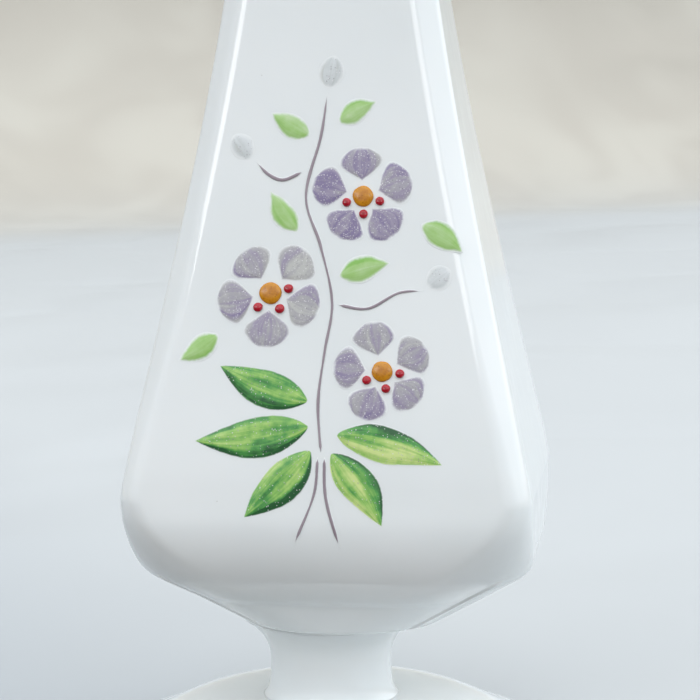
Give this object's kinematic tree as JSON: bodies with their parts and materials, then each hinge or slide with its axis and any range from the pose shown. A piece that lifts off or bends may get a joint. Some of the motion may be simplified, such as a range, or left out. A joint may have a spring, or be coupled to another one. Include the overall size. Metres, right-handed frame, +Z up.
{
  "type": "footed milk glass vase",
  "caption": "Four sided, tapering milk glass vase on a short round stem and domed foot, with a raised enamel flower spray on its front.",
  "frame": {"origin": "centre of the round foot, on the plane it stands on", "axes": "+Z up along the vase's axis, -Y out of the painted front face, +X to the right seen from the front"},
  "size_m": [0.083, 0.083, 0.216],
  "materials": {
    "milk_glass": "gloss, opaque white",
    "petal_enamel": "satin",
    "amber_enamel": "gloss",
    "ruby_enamel": "gloss",
    "dark_leaf_enamel": "satin",
    "light_leaf_enamel": "satin",
    "stalk_enamel": "satin",
    "bud_enamel": "satin"
  },
  "bodies": {
    "root": {"vase_body": "milk_glass", "joint_wafer": "milk_glass", "stem": "milk_glass", "foot": "milk_glass", "petal_upper_1": "petal_enamel", "petal_upper_2": "petal_enamel", "petal_upper_3": "petal_enamel", "petal_upper_4": "petal_enamel", "petal_upper_5": "petal_enamel", "centre_upper": "amber_enamel", "ruby_dot_upper_1": "ruby_enamel", "ruby_dot_upper_2": "ruby_enamel", "ruby_dot_upper_3": "ruby_enamel", "petal_middle_1": "petal_enamel", "petal_middle_2": "petal_enamel", "petal_middle_3": "petal_enamel", "petal_middle_4": "petal_enamel", "petal_middle_5": "petal_enamel", "centre_middle": "amber_enamel", "ruby_dot_middle_1": "ruby_enamel", "ruby_dot_middle_2": "ruby_enamel", "ruby_dot_middle_3": "ruby_enamel", "petal_lower_1": "petal_enamel", "petal_lower_2": "petal_enamel", "petal_lower_3": "petal_enamel", "petal_lower_4": "petal_enamel", "petal_lower_5": "petal_enamel", "centre_lower": "amber_enamel", "ruby_dot_lower_1": "ruby_enamel", "ruby_dot_lower_2": "ruby_enamel", "ruby_dot_lower_3": "ruby_enamel", "large_leaf_1": "dark_leaf_enamel", "large_leaf_2": "dark_leaf_enamel", "large_leaf_3": "dark_leaf_enamel", "large_leaf_4": "dark_leaf_enamel", "large_leaf_5": "dark_leaf_enamel", "small_leaf_1": "light_leaf_enamel", "small_leaf_2": "light_leaf_enamel", "small_leaf_3": "light_leaf_enamel", "small_leaf_4": "light_leaf_enamel", "small_leaf_5": "light_leaf_enamel", "small_leaf_6": "light_leaf_enamel", "bud_top": "bud_enamel", "bud_left": "bud_enamel", "bud_right": "bud_enamel", "stalk_main": "stalk_enamel", "stalk_tail_left": "stalk_enamel", "stalk_tail_right": "stalk_enamel", "tendril_left": "stalk_enamel", "tendril_right": "stalk_enamel"}
  },
  "joints": []
}
